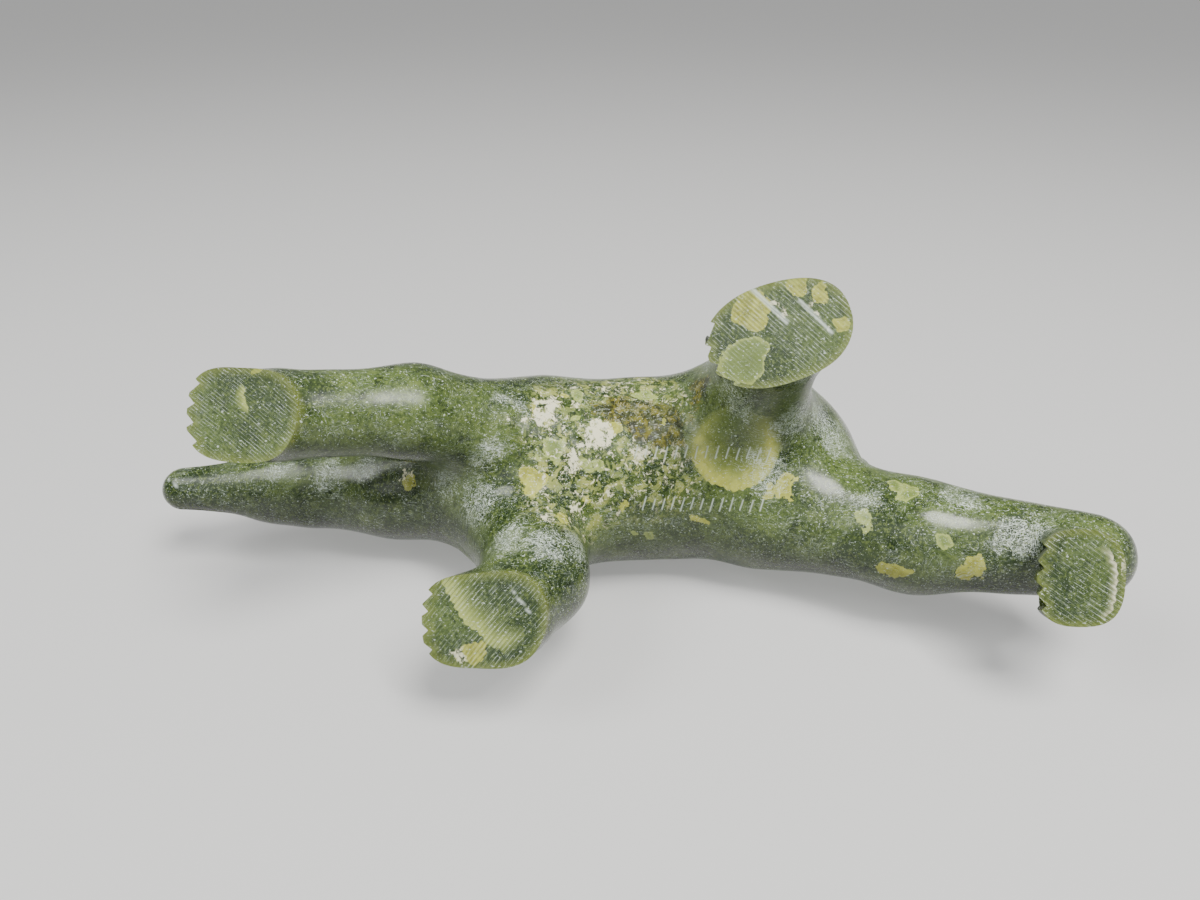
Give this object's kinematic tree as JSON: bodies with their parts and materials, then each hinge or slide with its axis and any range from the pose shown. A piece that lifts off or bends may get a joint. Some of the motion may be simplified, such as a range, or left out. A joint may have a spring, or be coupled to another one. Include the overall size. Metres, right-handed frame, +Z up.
{
  "type": "stone animal carving",
  "caption": "Walking polar bear carved from one block of green stone, with a long low neck, a wide stride and flat filed soles that it stands on.",
  "frame": {"origin": "on the plane of the four soles, under the middle of the carving's overall box", "axes": "+Z up, -Y the way the bear faces, +X towards its left side"},
  "size_m": [0.1178, 0.3402, 0.1086],
  "materials": {
    "green_stone": "polished, with matte filed soles"
  },
  "bodies": {
    "root": {"bear_carving": "green_stone"}
  },
  "joints": []
}
